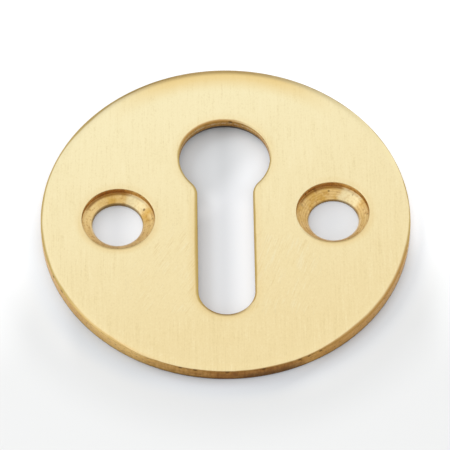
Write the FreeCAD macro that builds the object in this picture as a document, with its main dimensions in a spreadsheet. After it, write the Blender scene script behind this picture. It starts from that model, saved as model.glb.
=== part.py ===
import FreeCAD, Part
import Sketcher
import math
import os

# Keyhole escutcheon, a round plate that covers and guards the keyhole of a drawer or cabinet door.
# It is one piece of brass sheet: the disc is blanked, the keyhole and two screw holes are pierced
# through it, and each screw hole is counter-drilled from the face so that a countersunk head sinks in.
# Frame: the plate lies on its back. Z = 0 is the back face and +Z the outward normal of the face.
# +Y points from the plate's centre to the round head of the keyhole. The screw holes lie along X, but the
# jig stood slightly turned: on +X the hole is a little towards +Y, its seat a little more, and on -X the
# other way.
# Lengths are millimetres and angles are degrees.

# Name, value and meaning of each size that can be set by itself.
DRIVING_SIZES = (
    ("plate_diameter", 35.0, "outside diameter of the disc"),
    ("plate_thickness", 1.5, "thickness of the sheet"),
    ("rim_roll_width", 0.9, "how far the blanking die drew the face down, measured in from the rim"),
    ("rim_roll_depth", 0.2, "how deep it drew the face down at the rim"),
    ("back_edge_break", 0.08, "deburred edge of the back, at the rim"),
    ("head_diameter", 8.7, "round head of the keyhole"),
    ("slot_width", 5.3, "straight slot of the keyhole, ended by a full round"),
    ("keyhole_length", 22.4, "keyhole from the top of its head to the end of its slot, centred on the plate"),
    ("throat_radius", 2.0, "rounded corner where the head runs into the slot"),
    ("lip_roll_width", 0.5, "soft lip that the punch left on the face round the keyhole"),
    ("lip_roll_depth", 0.12, "depth of that lip at the wall of the keyhole"),
    ("breakout_width", 0.3, "how far the torn foot of the keyhole's wall leans back, at the back face"),
    ("breakout_height", 0.65, "height of that torn foot, where the wall stops being straight"),
    ("screw_spacing", 20.5, "centre to centre of the two pierced screw holes, along X"),
    ("screw_hole_diameter", 4.8, "pierced screw hole"),
    ("screw_hole_drift", 0.12, "how far each screw hole was pierced to one side of X"),
    ("seat_diameter", 6.9, "drill that sinks the seat of the screw head"),
    ("seat_wall_depth", 0.62, "straight wall of the seat, from the face to the start of its cone"),
    ("drill_point_angle", 118.0, "included angle of the drill's point, which leaves the cone of the seat"),
    ("seat_drift_x", 0.1, "how far each seat was drilled nearer the keyhole than its pierced hole"),
    ("seat_drift_y", 0.13, "how far it was drilled to the same side of its pierced hole"),
    ("seat_mouth_radius", 0.1, "softened mouth of the seat"),
)

# The holes are the same after half a turn about Z, so each has drifted the other way.
SCREW_HOLES = 2

# Two lengths closer than this are the same when edges are picked.
TOUCH = 0.0001

doc = FreeCAD.newDocument("keyhole_escutcheon")

sizes = doc.addObject("Spreadsheet::Sheet", "sizes")
for row, (alias, value, meaning) in enumerate(DRIVING_SIZES, start=1):
    sizes.set(f"A{row}", alias)
    sizes.set(f"B{row}", str(value))
    sizes.setAlias(f"B{row}", alias)
    sizes.set(f"C{row}", meaning)
doc.recompute()

body = doc.addObject("PartDesign::Body", "escutcheon_plate")
body.Label = "escutcheon_plate"
body.Placement = FreeCAD.Placement()


def origin_feature(role):
    """The plate's own origin plane or axis of that role."""
    return next(feature for feature in body.Origin.OriginFeatures if feature.Role == role)


def new_sketch(name, plane_role):
    """An empty sketch on one of the plate's origin planes."""
    sketch = body.newObject("Sketcher::SketchObject", name)
    sketch.AttachmentSupport = [(origin_feature(plane_role), "")]
    sketch.MapMode = "FlatFace"
    return sketch


def drive(sketch, name, formula, *constraint):
    """Add a dimension to a sketch, give it a name and tie it to the sheet."""
    index = sketch.addConstraint(Sketcher.Constraint(*constraint))
    sketch.renameConstraint(index, name)
    sketch.setExpression(f"Constraints.{name}", formula)


def tie(sketch, *constraints):
    """Add constraints that carry no size."""
    for constraint in constraints:
        sketch.addConstraint(Sketcher.Constraint(*constraint))


def line(x1, y1, x2, y2):
    """A straight sketch edge."""
    return Part.LineSegment(FreeCAD.Vector(x1, y1, 0), FreeCAD.Vector(x2, y2, 0))


def arc(x, y, radius, start, end):
    """A round sketch edge, anticlockwise from start to end in radians."""
    circle = Part.Circle(FreeCAD.Vector(x, y, 0), FreeCAD.Vector(0, 0, 1), radius)
    return Part.ArcOfCircle(circle, start, end)


def roll_radius(width, depth):
    """Radius of the arc that leaves the face tangentially and sinks by depth over width."""
    return (width ** 2 + depth ** 2) / (2 * depth)


def edges_where(shape, wanted):
    """Names of the edges of a shape that satisfy a test."""
    return [f"Edge{n}" for n, edge in enumerate(shape.Edges, start=1) if wanted(edge)]


def blank_the_disc():
    """Turn the section of the disc about Z: flat back, sheared wall, and the rolled edge of the face."""
    radius = sizes.plate_diameter / 2
    thickness = sizes.plate_thickness
    width = sizes.rim_roll_width
    depth = sizes.rim_roll_depth
    break_size = sizes.back_edge_break
    roll = roll_radius(width, depth)
    roll_start = math.atan2(roll - depth, width)

    section = new_sketch("disc_section", "XZ_Plane")
    back, edge_break, wall, rolled, face, axis = section.addGeometry([
        line(0, 0, radius - break_size, 0),
        line(radius - break_size, 0, radius, break_size),
        line(radius, break_size, radius, thickness - depth),
        arc(radius - width, thickness - roll, roll, roll_start, math.pi / 2),
        line(radius - width, thickness, 0, thickness),
        line(0, thickness, 0, 0),
    ])
    tie(
        section,
        ("Coincident", back, 1, -1, 1),
        ("Horizontal", back),
        ("Coincident", back, 2, edge_break, 1),
        ("Coincident", edge_break, 2, wall, 1),
        ("Vertical", wall),
        ("Coincident", wall, 2, rolled, 1),
        ("Tangent", rolled, 2, face, 1),
        ("Horizontal", face),
        ("PointOnObject", face, 2, -2),
        ("Coincident", face, 2, axis, 1),
        ("Coincident", axis, 2, back, 1),
    )
    drive(section, "rim_radius", "sizes.plate_diameter / 2", "DistanceX", -1, 1, wall, 2, radius)
    drive(section, "sheet", "sizes.plate_thickness", "DistanceY", -1, 1, face, 2, thickness)
    drive(section, "roll_width", "sizes.rim_roll_width", "DistanceX", rolled, 2, rolled, 1, width)
    drive(section, "roll_depth", "sizes.rim_roll_depth", "DistanceY", rolled, 1, rolled, 2, depth)
    drive(section, "break_width", "sizes.back_edge_break", "DistanceX", back, 2, wall, 1, break_size)
    drive(section, "break_height", "sizes.back_edge_break", "DistanceY", back, 2, wall, 1, break_size)

    disc = body.newObject("PartDesign::Revolution", "blanked_disc")
    disc.Profile = section
    disc.ReferenceAxis = (section, ["V_Axis"])
    disc.Angle = 360
    return disc


def keyhole_outline(name):
    """Sketch of the keyhole: an open circle, two rounded throats, straight sides and a full round end."""
    head_radius = sizes.head_diameter / 2
    half_slot = sizes.slot_width / 2
    half_length = sizes.keyhole_length / 2
    throat = sizes.throat_radius
    head_y = half_length - head_radius
    end_y = half_slot - half_length
    throat_x = half_slot + throat
    throat_y = head_y - math.sqrt((head_radius + throat) ** 2 - throat_x ** 2)
    open_angle = math.atan2(throat_y - head_y, throat_x)

    outline = new_sketch(name, "XY_Plane")
    right_side, right_throat, head, left_throat, left_side, end = outline.addGeometry([
        line(half_slot, end_y, half_slot, throat_y),
        arc(throat_x, throat_y, throat, math.pi + open_angle, math.pi),
        arc(0, head_y, head_radius, open_angle, math.pi - open_angle),
        arc(-throat_x, throat_y, throat, 0, -open_angle),
        line(-half_slot, throat_y, -half_slot, end_y),
        arc(0, end_y, half_slot, math.pi, 2 * math.pi),
    ])
    tie(
        outline,
        ("Vertical", right_side),
        ("Vertical", left_side),
        ("PointOnObject", head, 3, -2),
        ("PointOnObject", end, 3, -2),
        ("Tangent", right_side, 2, right_throat, 2),
        ("Tangent", right_throat, 1, head, 1),
        ("Tangent", head, 2, left_throat, 2),
        ("Tangent", left_throat, 1, left_side, 1),
        ("Tangent", left_side, 2, end, 1),
        ("Tangent", end, 2, right_side, 1),
        ("Equal", right_throat, left_throat),
    )
    drive(outline, "head_radius", "sizes.head_diameter / 2", "Radius", head, head_radius)
    drive(outline, "half_slot", "sizes.slot_width / 2", "Radius", end, half_slot)
    drive(outline, "throat", "sizes.throat_radius", "Radius", right_throat, throat)
    drive(outline, "head_place", "(sizes.keyhole_length - sizes.head_diameter) / 2",
          "DistanceY", -1, 1, head, 3, head_y)
    drive(outline, "end_place", "(sizes.keyhole_length - sizes.slot_width) / 2",
          "DistanceY", end, 3, -1, 1, -end_y)
    return outline


def pierce_the_keyhole():
    """Cut the keyhole straight through the disc."""
    pierced = body.newObject("PartDesign::Pocket", "pierced_keyhole")
    pierced.Profile = keyhole_outline("keyhole_outline")
    pierced.Type = "ThroughAll"
    pierced.Reversed = True
    return pierced


def roll_the_lip():
    """Carry the soft lip of the face round the keyhole, as a cut that follows the outline."""
    half_slot = sizes.slot_width / 2
    thickness = sizes.plate_thickness
    width = sizes.lip_roll_width
    depth = sizes.lip_roll_depth
    roll = roll_radius(width, depth)
    roll_end = math.pi - math.atan2(roll - depth, width)

    # The section of the cut stands on the right side of the slot and reaches past the metal by its depth.
    section = new_sketch("lip_section", "XZ_Plane")
    rolled, foot, inside, top, outside = section.addGeometry([
        arc(half_slot + width, thickness - roll, roll, math.pi / 2, roll_end),
        line(half_slot, thickness - depth, half_slot - depth, thickness - depth),
        line(half_slot - depth, thickness - depth, half_slot - depth, thickness + depth),
        line(half_slot - depth, thickness + depth, half_slot + width, thickness + depth),
        line(half_slot + width, thickness + depth, half_slot + width, thickness),
    ])
    tie(
        section,
        ("Coincident", rolled, 2, foot, 1),
        ("Horizontal", foot),
        ("Coincident", foot, 2, inside, 1),
        ("Vertical", inside),
        ("Coincident", inside, 2, top, 1),
        ("Horizontal", top),
        ("Coincident", top, 2, outside, 1),
        ("Perpendicular", outside, 2, rolled, 1),
        ("Vertical", outside),
    )
    drive(section, "side", "sizes.slot_width / 2", "DistanceX", -1, 1, rolled, 2, half_slot)
    drive(section, "sheet", "sizes.plate_thickness", "DistanceY", -1, 1, rolled, 1, thickness)
    drive(section, "roll_width", "sizes.lip_roll_width", "DistanceX", rolled, 2, rolled, 1, width)
    drive(section, "roll_depth", "sizes.lip_roll_depth", "DistanceY", rolled, 2, rolled, 1, depth)
    drive(section, "reach", "sizes.lip_roll_depth", "DistanceX", foot, 2, foot, 1, depth)
    drive(section, "rise", "sizes.lip_roll_depth", "DistanceY", rolled, 1, top, 1, depth)

    path = keyhole_outline("lip_path")
    path.setExpression(".AttachmentOffset.Base.z", "sizes.plate_thickness")

    lip = body.newObject("PartDesign::SubtractivePipe", "rolled_lip")
    lip.Profile = section
    lip.Spine = path
    return lip


def flare_the_keyhole_back():
    """Carry the break-out round the back of the keyhole, where the punch tore the metal free."""
    half_slot = sizes.slot_width / 2
    width = sizes.breakout_width
    height = sizes.breakout_height

    # The section of the cut stands on the right side of the slot and reaches past the metal by its width.
    section = new_sketch("breakout_section", "XZ_Plane")
    torn, outside, under, inside, shoulder = section.addGeometry([
        line(half_slot, height, half_slot + width, 0),
        line(half_slot + width, 0, half_slot + width, -width),
        line(half_slot + width, -width, half_slot - width, -width),
        line(half_slot - width, -width, half_slot - width, height),
        line(half_slot - width, height, half_slot, height),
    ])
    tie(
        section,
        ("PointOnObject", torn, 2, -1),
        ("Coincident", torn, 2, outside, 1),
        ("Vertical", outside),
        ("Coincident", outside, 2, under, 1),
        ("Horizontal", under),
        ("Coincident", under, 2, inside, 1),
        ("Vertical", inside),
        ("Coincident", inside, 2, shoulder, 1),
        ("Horizontal", shoulder),
        ("Coincident", shoulder, 2, torn, 1),
    )
    drive(section, "side", "sizes.slot_width / 2", "DistanceX", -1, 1, torn, 1, half_slot)
    drive(section, "width", "sizes.breakout_width", "DistanceX", torn, 1, torn, 2, width)
    drive(section, "height", "sizes.breakout_height", "DistanceY", torn, 2, torn, 1, height)
    drive(section, "reach", "sizes.breakout_width", "DistanceX", shoulder, 1, shoulder, 2, width)
    drive(section, "drop", "sizes.breakout_width", "DistanceY", outside, 2, outside, 1, width)

    flare = body.newObject("PartDesign::SubtractivePipe", "torn_breakout")
    flare.Profile = section
    flare.Spine = keyhole_outline("breakout_path")
    return flare


def screw_circle(name, diameter, across_formula, aside_formula, across, aside):
    """Sketch of one circle of a screw hole, driven by the sheet."""
    sketch = new_sketch(name, "XY_Plane")
    circle = sketch.addGeometry(
        Part.Circle(FreeCAD.Vector(across, aside, 0), FreeCAD.Vector(0, 0, 1), getattr(sizes, diameter) / 2)
    )
    drive(sketch, "bore", f"sizes.{diameter}", "Diameter", circle, getattr(sizes, diameter))
    drive(sketch, "across", across_formula, "DistanceX", -1, 1, circle, 3, across)
    drive(sketch, "aside", aside_formula, "DistanceY", -1, 1, circle, 3, aside)
    return sketch


def pierce_the_screw_hole():
    """Cut the screw hole on +X straight through."""
    pierced = body.newObject("PartDesign::Pocket", "pierced_screw_hole")
    pierced.Profile = screw_circle(
        "screw_hole_circle", "screw_hole_diameter",
        "sizes.screw_spacing / 2", "sizes.screw_hole_drift",
        sizes.screw_spacing / 2, sizes.screw_hole_drift,
    )
    pierced.Type = "ThroughAll"
    pierced.Reversed = True
    return pierced


def sink_the_seat():
    """Drill the seat of the screw head from the face: a short straight wall and the cone of the drill."""
    circle = screw_circle(
        "seat_circle", "seat_diameter",
        "sizes.screw_spacing / 2 - sizes.seat_drift_x", "sizes.screw_hole_drift + sizes.seat_drift_y",
        sizes.screw_spacing / 2 - sizes.seat_drift_x, sizes.screw_hole_drift + sizes.seat_drift_y,
    )
    circle.setExpression(".AttachmentOffset.Base.z", "sizes.plate_thickness")
    doc.recompute()

    seat = body.newObject("PartDesign::Hole", "drilled_seat")
    seat.Profile = circle
    doc.recompute()
    seat.Threaded = False
    seat.HoleCutType = "None"
    seat.DepthType = "Dimension"
    seat.DrillPoint = "Angled"
    seat.DrillForDepth = False
    seat.setExpression("Diameter", "sizes.seat_diameter")
    seat.setExpression("Depth", "sizes.seat_wall_depth")
    seat.setExpression("DrillPointAngle", "sizes.drill_point_angle")
    return seat


def repeat_half_a_turn_round(*features):
    """The same cuts again on the other side of the keyhole, turned about Z."""
    pattern = body.newObject("PartDesign::PolarPattern", "screw_holes")
    pattern.Originals = list(features)
    pattern.Axis = (origin_feature("Z_Axis"), [""])
    pattern.Angle = 360
    pattern.Occurrences = SCREW_HOLES
    body.Tip = pattern
    return pattern


def soften_the_seat_mouths(base):
    """Round the mouths of the seats, on the face."""
    face = sizes.plate_thickness
    radius = sizes.seat_diameter / 2

    def is_mouth(edge):
        if not isinstance(edge.Curve, Part.Circle):
            return False
        return abs(edge.Curve.Radius - radius) < TOUCH and abs(edge.Curve.Center.z - face) < TOUCH

    softened = body.newObject("PartDesign::Fillet", "seat_mouths")
    softened.Base = (base, edges_where(base.Shape, is_mouth))
    softened.setExpression("Radius", "sizes.seat_mouth_radius")
    return softened


blank_the_disc()
pierce_the_keyhole()
doc.recompute()
roll_the_lip()
doc.recompute()
flare_the_keyhole_back()
doc.recompute()
hole = pierce_the_screw_hole()
seat = sink_the_seat()
pattern = repeat_half_a_turn_round(hole, seat)
doc.recompute()
soften_the_seat_mouths(pattern)
doc.recompute()

for item in doc.Objects:
    if "Invalid" in item.State or "Error" in item.State:
        raise RuntimeError(f"{item.Name} did not build: {item.State}")
if body.Shape.isNull() or not body.Shape.isValid():
    raise RuntimeError("the plate is not a valid solid")

os.makedirs("parts", exist_ok=True)
body.Shape.exportStep(f"parts/{body.Label}.step")
print("escutcheon_plate", round(body.Shape.Volume, 3), "cubic mm,", len(body.Shape.Faces), "faces")
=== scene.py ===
import math

import bpy
import numpy as np
from mathutils import Matrix, Vector
from mathutils.geometry import delaunay_2d_cdt


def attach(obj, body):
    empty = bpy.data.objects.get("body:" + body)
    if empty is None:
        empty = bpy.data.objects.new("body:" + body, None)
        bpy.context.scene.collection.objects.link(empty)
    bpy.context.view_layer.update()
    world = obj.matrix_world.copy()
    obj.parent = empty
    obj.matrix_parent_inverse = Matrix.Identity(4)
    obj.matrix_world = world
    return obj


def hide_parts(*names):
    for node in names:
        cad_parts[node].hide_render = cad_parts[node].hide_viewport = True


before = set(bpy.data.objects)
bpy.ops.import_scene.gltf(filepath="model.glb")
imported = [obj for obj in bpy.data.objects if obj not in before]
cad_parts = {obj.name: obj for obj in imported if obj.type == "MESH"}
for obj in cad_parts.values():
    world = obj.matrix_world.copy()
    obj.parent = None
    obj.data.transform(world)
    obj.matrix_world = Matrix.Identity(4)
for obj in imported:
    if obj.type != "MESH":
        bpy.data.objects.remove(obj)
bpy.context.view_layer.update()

# Keyhole escutcheon: a disc of brass sheet, blanked, pierced and counter-drilled, then brushed by hand.
# Sizes and places on the plate are in millimetres, in the materials too. Only the finished meshes, the
# relief, the lamp and the camera are in metres.
# The plate lies on its back on Z = 0, with +Y from its centre to the round head of the keyhole.
MM = 0.001

# ---- sizes of the plate, as in its CAD source ----
PLATE_RADIUS = 17.5
THICKNESS = 1.5
RIM_ROLL_WIDTH = 0.9
RIM_ROLL_DEPTH = 0.2
BACK_EDGE_BREAK = 0.08
HEAD_RADIUS = 4.35
SLOT_HALF_WIDTH = 2.65
KEYHOLE_HALF_LENGTH = 11.2
HEAD_Y = KEYHOLE_HALF_LENGTH - HEAD_RADIUS
END_Y = SLOT_HALF_WIDTH - KEYHOLE_HALF_LENGTH
THROAT_RADIUS = 2.0
LIP_ROLL_WIDTH = 0.5
LIP_ROLL_DEPTH = 0.12
BREAKOUT_WIDTH = 0.3
BREAKOUT_HEIGHT = 0.65
SCREW_HOLE_X = 10.25
SCREW_HOLE_Y = 0.12
SCREW_HOLE_RADIUS = 2.4
SEAT_X = 10.15
SEAT_Y = 0.25
SEAT_RADIUS = 3.45
SEAT_WALL_DEPTH = 0.62
SEAT_WALL_FOOT = THICKNESS - SEAT_WALL_DEPTH
SEAT_CONE_SLOPE = math.tan(math.radians(90 - 118 / 2))
SEAT_MOUTH_RADIUS = 0.1

# ---- radius of the worn corner between a roll and its wall ----
RIM_CORNER = 0.14
LIP_CORNER = 0.1
# Value of the from_edge attribute, in millimetres, on all that isn't near a crisp edge.
FAR_FROM_EDGE = 2.0

# ---- marks that making and use left on it ----

# Nicks that the shear left in the rim: angle round the plate and half width in degrees, and depth in mm.
RIM_NICKS = (
    (255.4, 0.4, 0.06),
    (260.0, 0.5, 0.07),
    (269.7, 0.4, 0.07),
    (280.8, 0.5, 0.08),
    (292.2, 0.4, 0.08),
    (295.2, 0.3, 0.05),
    (299.2, 0.3, 0.05),
    (202.4, 0.35, 0.07),
    (208.5, 0.4, 0.06),
    (190.2, 0.3, 0.04),
    (346.2, 0.3, 0.05),
    (337.6, 0.35, 0.05),
)
# Height of the nicks' dark spots over the back.
RIM_NICK_HEIGHT = 1.22
# The rim's edge is never quite even: it wanders inwards by 0 to twice this.
RIM_UNEVENNESS = 0.006

# A nick in the lip at the top of the keyhole's head.
LIP_NICK = (0.62, 11.16, 1.3)

# Pits in the screw seats: place on the cone, radius, and how dark they are.
SEAT_PITS = (
    ((-7.73, 1.38, 0.56), 0.18, 0.75),
    ((-6.92, 0.2, 0.76), 0.15, 0.4),
    ((9.88, 3.28, 0.63), 0.15, 0.6),
    ((7.31, 1.58, 0.69), 0.22, 0.3),
    ((8.58, 3.21, 0.82), 0.24, 0.45),
    ((9.45, 2.4, 0.4), 0.26, 0.4),
    ((12.14, 2.71, 0.71), 0.13, 0.35),
    ((13.45, 0.42, 0.79), 0.14, 0.4),
    ((7.67, 2.65, 0.89), 0.2, 0.4),
)

# ---- fineness of the mesh ----
RIM_COLUMNS = 1080
KEYHOLE_SPACING = 0.085
SEAT_COLUMNS = 288
ROLL_ROWS = 12
CORNER_ROWS = 5
WALL_ROW = ROLL_ROWS + CORNER_ROWS
FOOT_ROWS = 4
MOUTH_ROWS = 5
RIM_WALL_ROWS = 14
KEYHOLE_WALL_ROWS = 8
SEAT_WALL_ROWS = 5
CONE_ROWS = 14
HOLE_WALL_ROWS = 4
# Rows on each side of the rim's edge that a nick reaches, as the width of a bell curve.
NICK_ROWS = 1.6
# A narrow flat ring between each roll and the face keeps the face's shading flat.
LAND = 0.03
# Edges that turn by more than this many degrees are shaded crisp.
CRISP_TURN = 35


# ---- sections ----

def roll_section(width, depth, corner):
    """A soft edge: a wide arc tangent to the face, then a small round of radius corner that ends upright.

    The wide arc has radius R = (width^2 + depth^2) / (2 depth) and runs to the angle a1 at which both arcs
    share a tangent, sin a1 = (width - corner) / (R - corner). For a = 0 to a1:
        reach = width - R sin a,     height = top - R (1 - cos a)
    and then, for b = a1 to 90 degrees:
        reach = corner (1 - sin b),  height = top - R (1 - cos a1) - corner (cos a1 - cos b)
    A flat land comes before it.
    """
    radius = (width ** 2 + depth ** 2) / (2 * depth)
    meet = math.asin((width - corner) / (radius - corner))
    wide = np.linspace(0, meet, ROLL_ROWS)
    small = np.linspace(meet, math.pi / 2, CORNER_ROWS + 1)[1:]
    sunk = radius * (1 - math.cos(meet))
    reach = np.concatenate([[width + LAND], width - radius * np.sin(wide), corner * (1 - np.sin(small))])
    small_fall = sunk + corner * (math.cos(meet) - np.cos(small))
    fall = np.concatenate([[0], radius * (1 - np.cos(wide)), small_fall])
    return reach, THICKNESS - fall


def sheared_section(roll, foot_reach, foot_height, wall_rows):
    """Section of a blanked or pierced edge from the face to the back, as reach into the metal and height:
    the roll, a straight wall at reach 0, and a foot that leans back to foot_reach from foot_height."""
    reach, height = roll
    wall = np.linspace(height[-1], foot_height, wall_rows)[1:]
    lean = np.linspace(1, 0, FOOT_ROWS + 1)[1:]
    reach = np.concatenate([reach, np.zeros_like(wall), foot_reach * (1 - lean)])
    height = np.concatenate([height, wall, foot_height * lean])
    return reach, height


# ---- paths ----

def directions(start, end, steps):
    """Unit vectors (cos a, sin a) for a from start up to end, which is left out."""
    turn = np.linspace(start, end, steps, endpoint=False)
    return np.stack([np.cos(turn), np.sin(turn)], 1)


def rim_path():
    """The plate's outline walked anticlockwise, with the unit vector into the metal: towards the centre."""
    out = directions(0, 2 * math.pi, RIM_COLUMNS)
    return PLATE_RADIUS * out, -out


def keyhole_path():
    """Outline of the keyhole walked anticlockwise, with the unit vector into the metal at each point.

    It is the right side, the right throat, the open circle of the head, the left throat, the left side
    and the half round end. An arc's points are centre + radius (cos a, sin a), and the metal lies
    outwards of the head and the end, and inwards of the throats.
    """
    throat_x = SLOT_HALF_WIDTH + THROAT_RADIUS
    throat_y = HEAD_Y - math.sqrt((HEAD_RADIUS + THROAT_RADIUS) ** 2 - throat_x ** 2)
    lean = math.atan2(throat_y - HEAD_Y, throat_x)
    points, into = [], []

    def side(x, start, end):
        steps = math.ceil(abs(end - start) / KEYHOLE_SPACING)
        y = np.linspace(start, end, steps, endpoint=False)
        points.append(np.stack([np.full(steps, x), y], 1))
        into.append(np.tile([math.copysign(1, x), 0.0], (steps, 1)))

    def bend(x, y, radius, start, end, metal):
        out = directions(start, end, math.ceil(abs(end - start) * radius / KEYHOLE_SPACING))
        points.append(np.array([x, y]) + radius * out)
        into.append(metal * out)

    side(SLOT_HALF_WIDTH, END_Y, throat_y)
    bend(throat_x, throat_y, THROAT_RADIUS, math.pi, math.pi + lean, -1)
    bend(0, HEAD_Y, HEAD_RADIUS, lean, math.pi - lean, 1)
    bend(-throat_x, throat_y, THROAT_RADIUS, -lean, 0, -1)
    side(-SLOT_HALF_WIDTH, throat_y, END_Y)
    bend(0, END_Y, SLOT_HALF_WIDTH, math.pi, 2 * math.pi, 1)
    return np.concatenate(points), np.concatenate(into)


# ---- surfaces: each is a grid of rows (face to back) by columns (round the path) ----

def carried(path, section):
    """A section carried along a path: point + reach * (unit vector into the metal), at the section's
    height."""
    points, into = path
    reach, height = section
    flat = points[None] + reach[:, None, None] * into[None]
    tall = np.broadcast_to(height[:, None, None], (*flat.shape[:2], 1))
    return np.concatenate([flat, tall], 2)


def seat_surface(hand):
    """Drilled seat and pierced hole of one side (hand 1 is on +X), as one grid.

    Columns are directions from the seat's centre. Down a column come the rounded mouth, the straight
    wall, the cone from the wall to where that direction meets the pierced hole, at a height that falls
    by the cone's slope times the distance gone, and the hole's wall straight down to the back.
    """
    seat = np.array([SEAT_X, SEAT_Y]) * hand
    hole = np.array([SCREW_HOLE_X, SCREW_HOLE_Y]) * hand
    out = directions(0, 2 * math.pi, SEAT_COLUMNS)

    corner = np.linspace(0, math.pi / 2, MOUTH_ROWS)
    mouth = SEAT_MOUTH_RADIUS * (1 - np.sin(corner))
    reach = np.concatenate([[SEAT_MOUTH_RADIUS + LAND], mouth])
    height = np.concatenate([[THICKNESS], THICKNESS - SEAT_MOUTH_RADIUS * (1 - np.cos(corner))])
    wall = np.linspace(height[-1], SEAT_WALL_FOOT, SEAT_WALL_ROWS)[1:]
    reach = np.concatenate([reach, np.zeros_like(wall)])
    height = np.concatenate([height, wall])
    upper = carried((seat + SEAT_RADIUS * out, out), (reach, height))

    offset = seat - hole
    along = out @ offset
    inner = -along + np.sqrt(along ** 2 - offset @ offset + SCREW_HOLE_RADIUS ** 2)
    share = np.linspace(0, 1, CONE_ROWS + 1)[1:, None]
    radius = SEAT_RADIUS + share * (inner - SEAT_RADIUS)
    cone_height = SEAT_WALL_FOOT - (SEAT_RADIUS - radius) * SEAT_CONE_SLOPE
    cone = np.concatenate([seat + radius[..., None] * out, cone_height[..., None]], 2)

    drop = np.linspace(1, 0, HOLE_WALL_ROWS + 1)[1:, None]
    flat = np.broadcast_to(cone[-1:, :, :2], (HOLE_WALL_ROWS, SEAT_COLUMNS, 2))
    bore = np.concatenate([flat, (drop * cone_height[-1])[..., None]], 2)
    return np.concatenate([upper, cone, bore])


def chipped(grid):
    """The rim with small nicks and a slight unevenness along the crisp corner of its roll and its wall.

    Each nick is a bell curve of the angle round the plate, and sinks into the metal and half as much
    downwards. Rows near the corner move by the share exp(-(rows away / NICK_ROWS)^2). The unevenness is
    the product of two sines of the angle.
    """
    turn = np.arctan2(grid[WALL_ROW, :, 1], grid[WALL_ROW, :, 0])
    depth = RIM_UNEVENNESS * (1 + np.sin(23 * turn + 1.3) * np.sin(7 * turn + 0.4))
    for angle, width, size in RIM_NICKS:
        away = np.angle(np.exp(1j * (turn - math.radians(angle))))
        depth = depth + size * np.exp(-(away / math.radians(width)) ** 2)
    share = np.exp(-((np.arange(len(grid)) - WALL_ROW) / NICK_ROWS) ** 2)
    share[:2] = 0
    inward = -grid[..., :2] / np.linalg.norm(grid[..., :2], axis=2, keepdims=True)
    moved = grid.copy()
    moved[..., :2] += inward * (share[:, None] * depth)[..., None]
    moved[..., 2] -= 0.5 * share[:, None] * depth
    return moved


# ---- the plate as one closed mesh ----

class Shell:
    """Vertices, faces and finishes of the mesh, gathered surface by surface, with each vertex's distance
    from the crisp edge of its roll."""

    def __init__(self):
        self.places = []
        self.from_edge = []
        self.faces = []
        self.finishes = []
        self.count = 0

    def add_ring(self, grid, from_edge, finish_of_row, outward):
        """Joins the rows of a closed grid by squares. outward is True where the wall faces away from the
        middle of its path, as the rim does. Returns the indices of the first and last row."""
        self.places.append(grid.reshape(-1, 3))
        self.from_edge.append(np.repeat(from_edge, grid.shape[1]))
        index = self.count + np.arange(grid[..., 0].size).reshape(grid.shape[:2])
        self.count += index.size
        after = np.roll(index, -1, axis=1)
        squares = np.stack([index[:-1], index[1:], after[1:], after[:-1]], 2)
        if not outward:
            squares = squares[..., ::-1]
        self.faces.append(squares.reshape(-1, 4))
        self.finishes.append(np.repeat(finish_of_row, grid.shape[1]))
        return index[0], index[-1]

    def add_sheet(self, rings, finish, upward):
        """Fills the flat sheet between an outer ring, the first of rings, and those of its openings."""
        places = np.concatenate(self.places)
        used = np.concatenate(rings)
        flat = [Vector(place) for place in places[used, :2].tolist()]
        starts = np.cumsum([0, *[len(ring) for ring in rings]])
        edges = [
            (start + i, start + (i + 1) % len(ring))
            for start, ring in zip(starts, rings)
            for i in range(len(ring))
        ]
        points, _, triangles, origin, _, _ = delaunay_2d_cdt(flat, edges, [], 0, 1e-6)
        place_of = used[np.array([places_met[0] for places_met in origin])]
        triangles = np.array(triangles)
        middle = np.array([tuple(point) for point in points])[triangles].mean(1)
        outer, *openings = [places[ring, :2] for ring in rings]
        metal = inside(middle, outer)
        for opening in openings:
            metal &= ~inside(middle, opening)
        triangles = place_of[triangles[metal]]
        if not upward:
            triangles = triangles[:, ::-1]
        self.faces.append(triangles)
        self.finishes.append(np.full(len(triangles), finish))

    def mesh(self, name):
        """The finished mesh, in metres."""
        sizes = np.concatenate([np.full(len(faces), faces.shape[1]) for faces in self.faces])
        corners = np.concatenate([faces.reshape(-1) for faces in self.faces])
        made = bpy.data.meshes.new(name)
        made.vertices.add(self.count)
        made.vertices.foreach_set("co", (np.concatenate(self.places) * MM).reshape(-1))
        made.loops.add(len(corners))
        made.loops.foreach_set("vertex_index", corners)
        made.polygons.add(len(sizes))
        made.polygons.foreach_set("loop_start", np.concatenate([[0], np.cumsum(sizes)[:-1]]))
        made.polygons.foreach_set("material_index", np.concatenate(self.finishes))
        from_edge = made.attributes.new("from_edge", "FLOAT", "POINT")
        from_edge.data.foreach_set("value", np.concatenate(self.from_edge))
        made.update(calc_edges=True)
        made.validate()
        made.shade_smooth()
        made.set_sharp_from_angle(angle=math.radians(CRISP_TURN))
        return made


def inside(points, ring):
    """True for points that a closed ring goes round: a line from the point towards +X crosses it an odd
    number of times."""
    x, y = points[:, :1], points[:, 1:]
    x1, y1 = ring.T
    x2, y2 = np.roll(ring, -1, axis=0).T
    spans = (y1 > y) != (y2 > y)
    rise = np.where(y2 == y1, 1.0, y2 - y1)
    crossing = x1 + (y - y1) * (x2 - x1) / rise
    return (spans & (x < crossing)).sum(1) % 2 == 1


FACE, EDGE, SEAT, BACK = range(4)


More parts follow.
